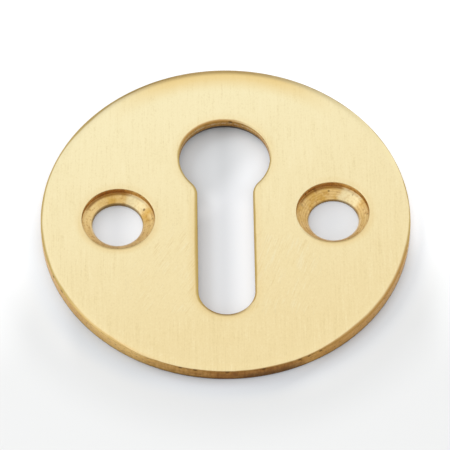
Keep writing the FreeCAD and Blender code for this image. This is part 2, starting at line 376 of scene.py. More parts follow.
def sheared_dress(section):
    """For a sheared edge, each row's distance from the crisp edge, which is the roll's reach and 0 on the
    wall, and each strip's finish: brushed down to the middle of the corner that wear rounded, bare wall
    below."""
    reach, _ = section
    from_edge = np.append(reach[:WALL_ROW + 1], np.zeros(len(reach) - WALL_ROW - 1))
    from_edge[0] = FAR_FROM_EDGE
    strips = np.arange(len(reach) - 1)
    return from_edge, np.where(strips < WALL_ROW - CORNER_ROWS // 2, FACE, EDGE)


def plate_mesh():
    """The whole plate: rim, keyhole, two seats, the face and the back, closed and facing outwards."""
    shell = Shell()
    rim = sheared_section(
        roll_section(RIM_ROLL_WIDTH, RIM_ROLL_DEPTH, RIM_CORNER),
        BACK_EDGE_BREAK, BACK_EDGE_BREAK, RIM_WALL_ROWS)
    lip = sheared_section(
        roll_section(LIP_ROLL_WIDTH, LIP_ROLL_DEPTH, LIP_CORNER),
        BREAKOUT_WIDTH, BREAKOUT_HEIGHT, KEYHOLE_WALL_ROWS)
    rings = [
        shell.add_ring(chipped(carried(rim_path(), rim)), *sheared_dress(rim), outward=True),
        shell.add_ring(carried(keyhole_path(), lip), *sheared_dress(lip), outward=False),
    ]
    for hand in (1, -1):
        seat = seat_surface(hand)
        finish = np.where(np.arange(len(seat) - 1) < MOUTH_ROWS - 1, FACE, SEAT)
        rings.append(shell.add_ring(seat, np.full(len(seat), FAR_FROM_EDGE), finish, outward=False))
    tops, bottoms = zip(*rings)
    shell.add_sheet(tops, FACE, upward=True)
    shell.add_sheet(bottoms, BACK, upward=False)
    return shell.mesh("escutcheon_plate_dressed")


# ---- kinds of shader node, each with its settings ----

# Between two values or two colours, by share.
BLEND = ("Mix", {"data_type": "FLOAT"})
TINT = ("Mix", {"data_type": "RGBA"})
# A value mapped from low..high to 0..1, or to the two values after them: in an S curve, or straight.
FADE = ("MapRange", {"interpolation_type": "SMOOTHSTEP"})
STRAIGHT_FADE = ("MapRange", {"interpolation_type": "LINEAR"})
PLUS = ("Math", {"operation": "ADD"})
MINUS = ("Math", {"operation": "SUBTRACT"})
TIMES = ("Math", {"operation": "MULTIPLY"})
OVER = ("Math", {"operation": "DIVIDE"})
LESSER = ("Math", {"operation": "MINIMUM"})
GREATER = ("Math", {"operation": "MAXIMUM"})
UNSIGNED = ("Math", {"operation": "ABSOLUTE"})
SIGN = ("Math", {"operation": "SIGN"})
NEAREST_WHOLE = ("Math", {"operation": "ROUND"})
SINE = ("Math", {"operation": "SINE"})
ANGLE = ("Math", {"operation": "ARCTAN2"})
FOLDED = ("Math", {"operation": "PINGPONG"})
PARTS = ("SeparateXYZ", {})
VECTOR = ("CombineXYZ", {})
LENGTH = ("VectorMath", {"operation": "LENGTH"})
DISTANCE = ("VectorMath", {"operation": "DISTANCE"})
COSINE_BETWEEN = ("VectorMath", {"operation": "DOT_PRODUCT"})
STRETCHED = ("VectorMath", {"operation": "MULTIPLY"})
SCALED = ("VectorMath", {"operation": "SCALE"})
TURNED = ("Mapping", {"vector_type": "POINT"})
NOISE = ("TexNoise", {"noise_dimensions": "3D"})
COORDINATES = ("TexCoord", {})
EDGE_DISTANCE = ("Attribute", {"attribute_name": "from_edge"})
RAY_KINDS = ("LightPath", {})
# Its distance is how far a height of 1 stands out.
RELIEF = ("Bump", {})
SURFACE = ("BsdfPrincipled", {})
MATERIAL_RESULT = ("OutputMaterial", {})
ROOM_GLOW = ("Background", {})
ROOM_RESULT = ("OutputWorld", {})


# ---- tools for materials ----

def linear(hex_colour):
    """sRGB hex turned to the linear colour that the shaders take."""
    srgb = np.array([int(hex_colour[i:i + 2], 16) for i in (1, 3, 5)]) / 255
    straight = np.where(srgb <= 0.04045, srgb / 12.92, ((srgb + 0.055) / 1.055) ** 2.4)
    return (*straight.tolist(), 1.0)


def node(tree, kind, *inputs, **named):
    """Adds one node and returns its first output. The inputs fill, in order, the sockets that its settings
    leave in use, and the named ones go by name, with _ for a space. Each is an output or a plain value."""
    name, settings = kind
    made = tree.nodes.new("ShaderNode" + name)
    for setting, value in settings.items():
        setattr(made, setting, value)
    in_use = [socket for socket in made.inputs if socket.enabled]
    by_name = [(made.inputs[socket.replace("_", " ")], value) for socket, value in named.items()]
    for socket, value in [*zip(in_use, inputs), *by_name]:
        if isinstance(value, bpy.types.NodeSocket):
            tree.links.new(value, socket)
        else:
            socket.default_value = value
    return next((socket for socket in made.outputs if socket.enabled), None)


def chained(tree, kind, *values):
    """All values joined one after the other by nodes of one kind."""
    whole, *others = values
    for value in others:
        whole = node(tree, kind, whole, value)
    return whole


def product(tree, *factors):
    """All factors multiplied."""
    return chained(tree, TIMES, *factors)


def total(tree, *terms):
    """All terms added."""
    return chained(tree, PLUS, *terms)


def layered(tree, colour, *layers):
    """Colour with each layer laid over it in turn. A layer is its share and its sRGB hex."""
    for share, hex_colour in layers:
        colour = node(tree, TINT, share, colour, linear(hex_colour))
    return colour


def grain(tree, place, size, turn=0.0, detail=3.0, rough=0.55, seed=(0, 0, 0)):
    """Noise round 0.5 with cells that are size = (x, y, z) long, turned by turn degrees about Z."""
    turned = node(tree, TURNED, place, seed, (0, 0, math.radians(-turn)))
    stretched = node(tree, STRETCHED, turned, tuple(1 / length for length in size))
    return node(tree, NOISE, stretched, Scale=1.0, Detail=detail, Roughness=rough)


def length_of(tree, *parts):
    """Length of the vector with these parts."""
    return node(tree, LENGTH, node(tree, VECTOR, *parts))


def spot(tree, place, centre, inner, outer):
    """1 within inner of a point, 0 beyond outer."""
    return node(tree, FADE, node(tree, DISTANCE, place, centre), outer, inner)


def from_seat(tree, x, y):
    """Place as seen from the nearer screw seat: distance from its axis, and bearing in turns from -0.5 to
    0.5, with 0 on +X and 0.25 on +Y."""
    hand = node(tree, SIGN, x)
    across = node(tree, MINUS, x, product(tree, hand, SEAT_X))
    aside = node(tree, MINUS, y, product(tree, hand, SEAT_Y))
    return length_of(tree, across, aside), node(tree, OVER, node(tree, ANGLE, aside, across), 2 * math.pi)


def towards(tree, bearing, middle, far, near):
    """1 on bearings within near turns of middle, 0 beyond far turns, counted the shorter way round."""
    return node(tree, FADE, node(tree, FOLDED, node(tree, MINUS, bearing, middle), 0.5), far, near)


def from_keyhole(tree, x, y):
    """Distance from the keyhole's outline: from its slot, whose middle line ends at the round end's centre
    and the head's centre, or from the head, whichever is less."""
    along = node(tree, LESSER, node(tree, GREATER, y, END_Y), HEAD_Y)
    slot = node(tree, MINUS, length_of(tree, x, node(tree, MINUS, y, along)), SLOT_HALF_WIDTH)
    head = node(tree, MINUS, length_of(tree, x, node(tree, MINUS, y, HEAD_Y)), HEAD_RADIUS)
    return node(tree, LESSER, slot, head)


def at_keyhole(tree, x, y):
    """1 at the keyhole and its lip, 0 at the rim."""
    return node(tree, FADE, length_of(tree, x, y), 13.5, 12.5)


def new_material(name):
    """An empty material, its node tree and the place on the piece in millimetres."""
    made = bpy.data.materials.new(name)
    made.use_nodes = True
    tree = made.node_tree
    tree.nodes.clear()
    metres = node(tree, COORDINATES).node.outputs["Object"]
    return made, tree, node(tree, SCALED, metres, 1 / MM)


# ---- brushed face ----

def brush_strokes(tree, place, drift):
    """Strokes of the hand brushing as a height round 0.5, with the shares of dark and pale scratches.

    They run upright, but beside the lower half of the slot they lean, by 32 degrees on its left and 20 on
    its right. Real ones are some hundredths of a millimetre apart, so these are drawn about five times
    coarser to show.
    """
    x, y, _ = node(tree, PARTS, place).node.outputs
    upright = grain(tree, place, (0.14, 3.2, 3.2), rough=0.6)
    left_lean = grain(tree, place, (0.12, 2.2, 2.2), turn=-32, detail=2.0, rough=0.6, seed=(0, 17, 0))
    right_lean = grain(tree, place, (0.12, 2.2, 2.2), turn=-20, detail=2.0, rough=0.6, seed=(0, 37, 0))
    speckle = grain(tree, place, (0.14, 0.2, 0.2), detail=2.0, seed=(11, 0, 0))
    patch = grain(tree, place, (1.6, 2.6, 2.6), detail=2.0, seed=(0, 0, 20))

    wandering_y = total(tree, y, product(tree, drift, 6.0))
    beside_slot = product(
        tree, node(tree, FADE, wandering_y, -0.5, -2.5), node(tree, FADE, wandering_y, -12.5, -10.0),
        node(tree, FADE, node(tree, UNSIGNED, x), 10.5, 7.5))
    leaning = node(tree, BLEND, node(tree, FADE, x, 2.0, -2.0), right_lean, left_lean)
    stroke = node(tree, BLEND, beside_slot, upright, leaning)
    scratched = product(tree, beside_slot, node(tree, FADE, patch, 0.4, 0.55))
    dark = product(tree, scratched, node(tree, FADE, stroke, 0.54, 0.66, 0.0, 0.32))
    pale = product(tree, scratched, node(tree, FADE, stroke, 0.46, 0.34, 0.0, 0.32))
    strength = node(tree, FADE, patch, 0.35, 0.65, 0.5, 1.0)
    stroke = total(tree, product(tree, node(tree, MINUS, stroke, 0.5), strength), 0.5)
    return node(tree, BLEND, 0.42, stroke, speckle), dark, pale


def face_colour(tree, x, y, drift, strokes):
    """Pale gold that cools towards the head, with its strokes, and painted reflections where its rolled rim
    mirrors the room: a warm dark painted reflection of the room's gap at the far side, and a painted
    highlight at the upper right."""
    stroke, dark_scratch, pale_scratch = strokes
    slope = total(tree, product(tree, y, 0.9), product(tree, x, -0.25), product(tree, drift, 5.0))
    cooling = node(tree, STRAIGHT_FADE, slope, -12.0, 12.0)
    colour = node(tree, TINT, cooling, linear("#F0DCA8"), linear("#F9ECBF"))
    radius = length_of(tree, x, y)
    # Painted reflection of the room's warm dark gap along the far rim.
    far_rim_reflection = product(
        tree, node(tree, FADE, node(tree, UNSIGNED, x), 12.0, 4.5), node(tree, FADE, y, 0.0, 12.0),
        node(tree, FADE, radius, 14.6, 17.0, 0.0, 0.85))
    # Painted highlight along the rim's upper right edge.
    edge_highlight = product(
        tree, node(tree, FADE, total(tree, x, y), 19.0, 23.5), node(tree, FADE, radius, 16.7, 17.2, 0.0, 0.6))
    return layered(
        tree, colour,
        (node(tree, FADE, stroke, 0.51, 0.3, 0.0, 0.34), "#D8C288"),
        (node(tree, FADE, stroke, 0.49, 0.7, 0.0, 0.36), "#FFF3CC"),
        (dark_scratch, "#D9BC78"),
        (pale_scratch, "#FFF6D6"),
        (far_rim_reflection, "#EECF88"),
        (edge_highlight, "#FFF0BC"),
    )


def slot_sides(tree, x, y):
    """Shares of the lip at the slot's left side and at its round end."""
    left = product(tree, node(tree, FADE, x, 0.0, -2.0), node(tree, FADE, y, 4.0, 1.0))
    return left, node(tree, FADE, y, -9.5, -11.0)


def reflections_round_openings(tree, x, y, colour):
    """Colour with golden bands round the keyhole and the seats, where the face dips: a painted reflection of
    the room's warm dark gap, strongest at the slot's left side and round end and on each seat's near side,
    and a darker painted arc on the near side of each seat's mouth."""
    slot_left, slot_end = slot_sides(tree, x, y)
    # Golden painted reflection of the room's warm dark gap round the keyhole, strongest at the slot's left
    # side and round end.
    golden = chained(tree, GREATER, product(tree, slot_left, 0.34), product(tree, slot_end, 0.3), 0.16)
    keyhole_reflection = product(tree, node(tree, FADE, from_keyhole(tree, x, y), 1.1, 0.05), golden)

    distance, bearing = from_seat(tree, x, y)
    near_side = towards(tree, bearing, -0.27, 0.3, 0.15)
    right_seat_by_slot = product(tree, node(tree, FADE, x, 4.0, 5.0), node(tree, FADE, x, 9.5, 7.5))
    # The same painted reflection round each seat, strongest on its near side.
    seat_reflection = product(
        tree, node(tree, FADE, distance, 4.35, 3.6, 0.0, 0.28), node(tree, MINUS, 1.0, right_seat_by_slot),
        total(tree, product(tree, near_side, 0.6), 0.6))
    # A darker painted arc on the near side of each seat's mouth.
    mouth = product(
        tree, node(tree, FADE, distance, 3.78, 3.55), towards(tree, bearing, -0.26, 0.18, 0.07), 0.5)
    return layered(tree, colour, (keyhole_reflection, "#E2BC6C"), (seat_reflection, "#E4BF74"), (mouth, "#AE9258"))


def painted_edge_shade(tree, place, drift, colour):
    """Colour with a brown line of painted shade along the crisp edges, where the rolls mirror the dark of the
    room.

    It shows where the distance from the edge is less than a reach, which is wider at the left, at the far
    left and at the near right of the rim, and narrower at its front and at the slot's round end. It is
    fainter at the head's right and the rim's near left, where light falls, and the near left edge also has a
    painted golden highlight.
    """
    x, y, _ = node(tree, PARTS, place).node.outputs
    keyhole = at_keyhole(tree, x, y)
    slot_left, slot_end = slot_sides(tree, x, y)
    to_near_right = total(tree, product(tree, x, 0.85), product(tree, y, -0.5))
    rim_reach = total(
        tree, node(tree, FADE, x, -7.0, -13.0, 0.16, 0.28),
        product(tree, node(tree, FADE, y, 7.0, 11.0), node(tree, FADE, x, -2.0, -7.0, 0.0, 0.22)),
        node(tree, FADE, to_near_right, 14.0, 17.0, 0.0, 0.2),
        product(tree, node(tree, FADE, y, -13.0, -15.5), node(tree, FADE, x, 3.0, -2.0, -0.04, -0.11)))
    lip_reach = total(
        tree, product(tree, slot_left, 0.1), product(tree, slot_end, -0.17),
        node(tree, FADE, x, 1.0, 2.5, 0.3, 0.24))
    edge_distance = node(tree, EDGE_DISTANCE).node.outputs["Fac"]
    edge = total(tree, edge_distance, product(tree, drift, 0.25))
    reach = node(tree, BLEND, keyhole, rim_reach, lip_reach)
    # A brown line of painted shade along the crisp edges, where the rolls mirror the dark of the room.
    edge_shade = node(tree, FADE, node(tree, OVER, edge, reach), 1.0, 0.35)

    # Less painted shade at the head's right and the rim's near left, where light falls.
    near_left = product(tree, node(tree, FADE, x, -5.0, -9.0), node(tree, FADE, y, -8.0, -12.0))
    head_right = product(tree, keyhole, node(tree, FADE, x, 0.0, 3.0), node(tree, FADE, y, 6.0, 8.0))
    lit_edge = node(tree, GREATER, product(tree, head_right, 0.8), product(tree, near_left, 0.3))
    edge_shade = product(tree, edge_shade, node(tree, MINUS, 0.85, product(tree, lit_edge, 0.85)))

    leaning_y = total(tree, y, product(tree, x, -0.4))
    edge_shade_colour = node(
        tree, TINT, node(tree, FADE, leaning_y, -13.0, -8.0), linear("#A8772F"), linear("#B6984E"))
    at_head = product(tree, keyhole, node(tree, FADE, y, 7.0, 10.0))
    edge_shade_colour = layered(tree, edge_shade_colour, (at_head, "#A87018"))
    # The near left edge also gets a painted golden highlight.
    return layered(
        tree, node(tree, TINT, edge_shade, colour, edge_shade_colour),
        (product(tree, near_left, node(tree, FADE, edge, 0.35, 0.1, 0.0, 0.28)), "#F0BC68"),
        (product(tree, spot(tree, place, LIP_NICK, 0.06, 0.22), 0.55), "#8A5E22"),
    )


def brushed_brass():
    """Yellow brass sheet, brushed by hand with fine grit along the keyhole.

    Copper with about 37 % zinc, bare. It gives the eye a silky pale gold with faint broken streaks, upright
    above and leaning beside the lower half of the slot. Its colour also carries painted light: a browner line
    of painted shade along its crisp edges, painted reflections round its openings and along its far rim, and
    painted highlights at the upper right and near left of its rim.
    """
    made, tree, place = new_material("brushed_brass_face")
    x, y, _ = node(tree, PARTS, place).node.outputs
    drift = node(tree, MINUS, grain(tree, place, (3.4, 5.0, 5.0), seed=(0, 0, 50)), 0.5)
    strokes = brush_strokes(tree, place, drift)
    colour = face_colour(tree, x, y, drift, strokes)
    colour = reflections_round_openings(tree, x, y, colour)
    colour = painted_edge_shade(tree, place, drift, colour)
    surface = node(
        tree, SURFACE, Base_Color=colour, Metallic=1.0,
        Roughness=node(tree, FADE, strokes[0], 0.3, 0.7, 0.36, 0.29),
        Normal=node(tree, RELIEF, Strength=1.0, Distance=0.002 * MM, Height=strokes[0]))
    node(tree, MATERIAL_RESULT, surface)
    return made


# ---- bare walls ----

def sheared_brass():
    """The bare wall that the die left, with upright shear marks a few tenths of a millimetre apart.

    Sheared brass is left unpolished, so it oxidises: it gives the eye a tarnished brown, deepened by painted
    shade at the front of the rim and on the keyhole's head, and gold where painted light falls on the rim's
    left and right and on the slot's walls. It also has a painted highlight on the rim's lower left, painted
    shade just under the face and at the foot, and near black where the metal tore: the dull fracture,
    darkened by painted shade.
    """
    made, tree, place = new_material("sheared_brass_edge")
    x, y, z = node(tree, PARTS, place).node.outputs
    marks = grain(tree, place, (0.2, 0.2, 0.9), rough=0.6)
    blotch = grain(tree, place, (1.3, 1.3, 0.45), detail=4.0, rough=0.6, seed=(20, 0, 0))
    specks = grain(tree, place, (0.4, 0.4, 0.14), detail=2.0, seed=(0, 50, 0))
    keyhole = at_keyhole(tree, x, y)
    rim = node(tree, MINUS, 1.0, keyhole)
    # Painted shade and light round the rim: darker at its front, darkest just right of its middle, and
    # lighter towards its right.
    right = node(tree, FADE, x, 5.0, 8.5)
    front = product(tree, node(tree, FADE, x, -11.5, 2.5), node(tree, FADE, right, 0.0, 1.0, 1.0, 0.35))
    darkest = product(
        tree, front, node(tree, FADE, x, -1.0, 3.0), node(tree, FADE, right, 0.0, 1.0, 1.0, 0.1))

    # On the keyhole's walls: painted shade on the head's walls, and painted light on the slot's walls and
    # high on the head's sides.
    head_sides = total(
        tree, node(tree, FADE, x, 1.0, 3.5, 0.25, 0.75), node(tree, FADE, x, -1.0, -2.6, 0.0, 0.35))
    upper = product(tree, node(tree, FADE, z, 0.9, 1.15), head_sides)
    in_keyhole = node(tree, MINUS, node(tree, FADE, y, 1.0, 4.0, -0.3, 0.65), upper)
    blotched = product(tree, node(tree, MINUS, blotch, 0.5), 1.1)
    # Brown tarnishing that differs at random, made browner by painted shade and paler by painted light.
    tarnish_and_shade = total(tree, node(tree, BLEND, keyhole, front, in_keyhole), blotched)
    marked = node(tree, FADE, marks, 0.3, 0.7)
    bright = node(tree, TINT, marked, linear("#E2B25E"), linear("#EDC478"))
    dull = node(tree, TINT, marked, linear("#9C682E"), linear("#B68040"))

    orange = product(
        tree, keyhole, node(tree, FADE, z, 1.0, 1.3),
        node(tree, FADE, node(tree, UNSIGNED, x), 3.2, 1.0, 0.1, 0.5))
    # A painted highlight on the rim's lower left, where the softbox's light falls.
    from_rim_highlight = node(tree, UNSIGNED, total(tree, x, 10.5))
    rim_highlight = product(
        tree, node(tree, FADE, from_rim_highlight, 3.6, 1.8, 0.0, 0.8), rim,
        node(tree, FADE, z, 0.5, 1.3, 0.35, 1.0))
    # A dark line of painted shade just under the face, stronger at the rim's front.
    under_face = product(
        tree, node(tree, FADE, z, 0.98, 1.18), total(tree, product(tree, front, 0.1), 0.05), rim)
    speck = node(tree, FADE, specks, 0.57, 0.67)
    # Painted shade at the foot of the wall, and lower down on the rim's darkest front.
    foot = product(tree, node(tree, FADE, z, 0.42, 0.05), node(tree, FADE, front, 0.0, 0.7, 0.3, 0.65))
    shaded = product(tree, node(tree, FADE, z, 1.0, 0.3), darkest, 0.6)
    # The rim is painted lighter gold towards its right and at its right end: painted light.
    colour = layered(
        tree, node(tree, TINT, tarnish_and_shade, bright, dull),
        (product(tree, right, 0.4), "#DCA24A"),
        (node(tree, FADE, x, 9.5, 13.0, 0.0, 0.24), "#F6C472"),
        (orange, "#A66A1E"),
        (rim_highlight, "#FFD98C"),
        (under_face, "#6E4016"),
        (product(tree, speck, 0.45), "#6B4019"),
        (node(tree, GREATER, foot, shaded), "#4E3820"),
    )

    for degrees, _, depth in RIM_NICKS:
        angle = math.radians(degrees)
        centre = (PLATE_RADIUS * math.cos(angle), PLATE_RADIUS * math.sin(angle), RIM_NICK_HEIGHT)
        nick = spot(tree, place, centre, 0.08, 0.1 + 2.4 * depth)
        colour = layered(tree, colour, (product(tree, nick, 0.8), "#4A2A10"))
    flecks = product(
        tree, keyhole, node(tree, FADE, specks, 0.46, 0.56), node(tree, FADE, z, 1.2, 1.1),
        node(tree, FADE, z, 0.9, 0.98), 0.45)
    # Near black where the metal tore: the dull fracture, darkened by painted shade.
    torn_and_shaded = product(
        tree, keyhole, node(tree, FADE, z, BREAKOUT_HEIGHT + 0.06, BREAKOUT_HEIGHT - 0.04, 0.0, 0.85))
    colour = layered(
        tree, colour,
        (product(tree, spot(tree, place, LIP_NICK, 0.1, 0.3), 0.75), "#5A3A14"),
        (flecks, "#FAE6C0"),
        (torn_and_shaded, "#54493B"),
    )
    height = node(tree, MINUS, marks, product(tree, speck, 0.8))
    surface = node(
        tree, SURFACE, Base_Color=colour, Metallic=1.0,
        Roughness=node(tree, FADE, tarnish_and_shade, 0.0, 1.0, 0.38, 0.5),
        Normal=node(tree, RELIEF, Strength=1.0, Distance=0.015 * MM, Height=height))
    node(tree, MATERIAL_RESULT, surface)
    return made


def drilled_brass():
    """Screw seat cut by a drill's lip, which leaves rings about the seat's own axis.

    Cut brass under a thin patina: it gives the eye a warm mottled gold cone with a few dark pits, a brown
    wall above it and a dark ring in the angle between them, where dirt collects, deepened by painted shade on
    the far arc. Its colour also carries painted light: pale arcs on the cone's near side and ends, a
    highlight towards the upper right and on the bore's near edge, and shade round the rest of the bore's
    edge.
    """
    made, tree, place = new_material("drilled_brass_seat")
    x, y, z = node(tree, PARTS, place).node.outputs
    hand = node(tree, SIGN, x)
    distance, bearing = from_seat(tree, x, y)
    wobble = grain(tree, place, (1.2, 1.2, 1.2))
    patina = grain(tree, place, (0.9, 0.9, 0.9), detail=4.0, rough=0.6, seed=(0, 23, 0))
    mottle = grain(tree, place, (0.3, 0.3, 0.3), seed=(13, 0, 0))
    ring_spacing = 0.22
    ring_place = total(tree, distance, product(tree, wobble, 0.3))
    ring = product(tree, node(tree, SINE, product(tree, ring_place, 2 * math.pi / ring_spacing)), 0.5)
    bearing = total(tree, bearing, product(tree, node(tree, MINUS, wobble, 0.5), 0.08))

    # Painted light: pale arcs on each cone's near side, at the left seat's left end and at the outer right.
    near_side = towards(tree, bearing, -0.25, 0.32, 0.16)
    left_of_left_seat = product(
        tree, towards(tree, bearing, 0.45, 0.16, 0.04), node(tree, FADE, hand, 0.5, -0.5, 0.1, 1.0))
    outer_right = product(
        tree, towards(tree, bearing, -0.03, 0.1, 0.03), node(tree, FADE, distance, 2.75, 3.1))
    pale = chained(tree, GREATER, near_side, left_of_left_seat, outer_right)
    ring_strength = node(tree, FADE, hand, -0.5, 0.5, 0.06, 0.26)
    # A painted highlight on the cone towards the upper right.
    seat_highlight = product(
        tree, towards(tree, bearing, 0.148, 0.085, 0.03), node(tree, FADE, mottle, 0.4, 0.7, 1.0, 0.7))
    far_arc = towards(tree, bearing, 0.27, 0.2, 0.12)
    # A dark ring in the angle between wall and cone, where dirt collects, deepened by painted shade on the
    # far arc and fainter under the painted highlight.
    corner = product(
        tree, node(tree, FADE, distance, SEAT_RADIUS - 0.3, SEAT_RADIUS - 0.12),
        node(tree, FADE, far_arc, 0.0, 1.0, 0.2, 0.85), node(tree, FADE, seat_highlight, 0.0, 1.0, 1.0, 0.4))
    cone_colour = layered(
        tree, node(tree, TINT, node(tree, FADE, patina, 0.35, 0.65), linear("#D5AC5C"), linear("#EBCA88")),
        (product(tree, pale, 0.58), "#FADFA2"),
        (node(tree, FADE, mottle, 0.5, 0.72, 0.0, 0.5), "#A87030"),
        (product(tree, total(tree, ring, 0.5), ring_strength), "#A87434"),
        (product(tree, seat_highlight, 0.85), "#F4E5B6"),
        (corner, "#8A5A22"),
    )

    dark_arc = product(
        tree, towards(tree, bearing, 0.29, 0.12, 0.04), node(tree, FADE, hand, -0.5, 0.5, 1.0, 0.65))
    far_wall = layered(
        tree, linear("#F4C97C"), (dark_arc, "#C08A48"),
        (node(tree, FADE, mottle, 0.5, 0.62, 0.0, 0.4), "#A8642C"))
    wall_colour = node(tree, TINT, far_arc, linear("#BC9048"), far_wall)
    wall = node(tree, FADE, z, SEAT_WALL_FOOT - 0.04, SEAT_WALL_FOOT + 0.04)

    from_bore = length_of(
        tree, node(tree, MINUS, x, product(tree, hand, SCREW_HOLE_X)),
        node(tree, MINUS, y, product(tree, hand, SCREW_HOLE_Y)))
    # Painted shade round the bore's edge, faint on its near side.
    bore = product(
        tree, node(tree, FADE, from_bore, SCREW_HOLE_RADIUS + 0.14, SCREW_HOLE_RADIUS + 0.02),
        node(tree, BLEND, near_side, 0.7, 0.1))
    # A painted highlight on the bore's near edge.
    bright_lip = product(
        tree, node(tree, FADE, from_bore, SCREW_HOLE_RADIUS + 0.3, SCREW_HOLE_RADIUS, 0.0, 0.6), near_side)
    pits = [
        (product(tree, spot(tree, place, centre, 0.3 * radius, radius), share), "#5E3A14")
        for centre, radius, share in SEAT_PITS
    ]
    colour = layered(
        tree, node(tree, TINT, wall, cone_colour, wall_colour),
        (bore, "#75552E"), (bright_lip, "#F7E6C4"), *pits)
    height = total(tree, product(tree, ring, 0.3), mottle)
    surface = node(
        tree, SURFACE, Base_Color=colour, Metallic=1.0,
        Roughness=node(tree, FADE, patina, 0.3, 0.7, 0.34, 0.46),
        Normal=node(tree, RELIEF, Strength=1.0, Distance=0.012 * MM, Height=height))
    node(tree, MATERIAL_RESULT, surface)
    return made


# ---- back ----

def rolled_brass():
    """Back of the sheet as the rolling mill left it. It gives the eye a duller gold than the face, with faint
    rolling lines across."""
    made, tree, place = new_material("rolled_brass_back")
    lines = grain(tree, place, (14.0, 0.3, 14.0), rough=0.6)
    cloud = grain(tree, place, (5.0, 5.0, 5.0))
    colour = layered(
        tree, node(tree, TINT, node(tree, FADE, lines, 0.3, 0.7), linear("#D9BC7C"), linear("#E6CD94")),
        (node(tree, FADE, cloud, 0.45, 0.75, 0.0, 0.35), "#B58C4C"))
    surface = node(
        tree, SURFACE, Base_Color=colour, Metallic=1.0,
        Roughness=node(tree, FADE, cloud, 0.3, 0.7, 0.36, 0.5),
        Normal=node(tree, RELIEF, Strength=1.0, Distance=0.003 * MM, Height=lines))
    node(tree, MATERIAL_RESULT, surface)
    return made


plate = bpy.data.objects.new("escutcheon_plate_dressed", plate_mesh())
bpy.context.scene.collection.objects.link(plate)
for finish in (brushed_brass(), sheared_brass(), drilled_brass(), rolled_brass()):
    plate.data.materials.append(finish)
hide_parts("escutcheon_plate")
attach(plate, "root")


# ---- the table it lies on ----

# Half the paper's side, in metres.
FLOOR_HALF_WIDTH = 0.6
# How much the paper glows to the eye, where 1 is white: away from the plate in front, behind it, beside it,
# close to its rim, and far away all round. This glow is painted light: it is weaker in front and near the
# plate, so the plate's shadow stays grey there, and the glows close to the rim lighten that shadow.
GLOW_FRONT = 0.07
GLOW_BEHIND = 0.3
GLOW_BESIDE = 0.1
GLOW_CLOSE = 0.115
GLOW_FAR = 0.2
# The same on the left and right side of each opening, painted light for the softbox's light that the walls
# throw back, and in the keyhole's head and left throat.
GLOW_OPENING_LEFT = 0.08
GLOW_OPENING_RIGHT = 0.26
GLOW_HEAD_LEFT = 0.04
GLOW_THROAT = 0.07


def glow_in_openings(tree, place, in_head):
    """Glow of the paper that the keyhole and the screw holes leave in sight: painted light."""
    x, y, _ = node(tree, PARTS, place).node.outputs
    opening = node(tree, NEAREST_WHOLE, node(tree, OVER, x, SCREW_HOLE_X))
    across = node(tree, MINUS, x, product(tree, opening, SCREW_HOLE_X))
    sides = total(
        tree, node(tree, FADE, across, 0.2, -1.4, 0.0, GLOW_OPENING_LEFT),
        node(tree, FADE, across, -0.5, 2.5, 0.0, GLOW_OPENING_RIGHT))
    middle_opening = node(tree, MINUS, 1.0, node(tree, UNSIGNED, opening))
    in_slot = product(tree, node(tree, FADE, y, 5.0, 1.0), middle_opening)
    strength = total(
        tree, node(tree, FADE, in_slot, 0.0, 1.0, 0.6, 1.0), node(tree, FADE, x, 6.0, 8.0, 0.0, -0.4))
    head_left = product(tree, in_head, node(tree, FADE, x, -1.5, -3.8, 0.0, GLOW_HEAD_LEFT))
    throat = product(tree, spot(tree, place, (-2.4, 2.4, 0.0), 0.6, 2.6), GLOW_THROAT)
    return total(tree, product(tree, sides, strength), head_left, throat)


def glow_round_plate(tree, place):
    """Glow of the paper outside the plate: painted light, which leaves its shadow grey at the front and
    lightens it close to the rim.
    """
    x, y, _ = node(tree, PARTS, place).node.outputs
    radius = length_of(tree, x, y)
    behind = node(tree, FADE, y, -12.0, 5.0, 0.0, GLOW_BEHIND)
    far = node(tree, FADE, radius, 38.0, 80.0, 0.0, GLOW_FAR)
    clear = node(tree, FADE, radius, 20.0, 26.0, 0.0, GLOW_FRONT)
    beside = product(
        tree, node(tree, FADE, node(tree, UNSIGNED, x), 17.5, 21.0, 0.0, GLOW_BESIDE),
        node(tree, FADE, y, -18.0, -9.0), node(tree, FADE, y, 6.0, -3.0))
    in_front = product(
        tree, node(tree, FADE, x, -6.0, 1.5), node(tree, FADE, x, 12.0, 6.0),
        node(tree, FADE, radius, 19.2, 17.9))
    at_right = product(
        tree, node(tree, FADE, x, 4.0, 9.0), node(tree, FADE, radius, 21.5, 18.0),
        node(tree, FADE, radius, 17.5, 18.5, 0.26, 0.87))
    right_end = product(
        tree, node(tree, FADE, x, 10.0, 14.0), node(tree, FADE, y, -6.0, -0.5),
        node(tree, FADE, radius, 18.9, 17.8, 0.0, 1.4))
    left_end = product(
        tree, node(tree, FADE, x, -13.5, -15.5), node(tree, FADE, y, -0.5, -5.0),
        node(tree, FADE, radius, 22.5, 19.5, 0.0, 0.45))
    close = product(
        tree, total(tree, node(tree, GREATER, in_front, at_right), right_end, left_end),
        node(tree, FADE, radius, 17.4, 17.65, 0.0, GLOW_CLOSE))
    return total(tree, node(tree, GREATER, behind, far), clear, beside, close)


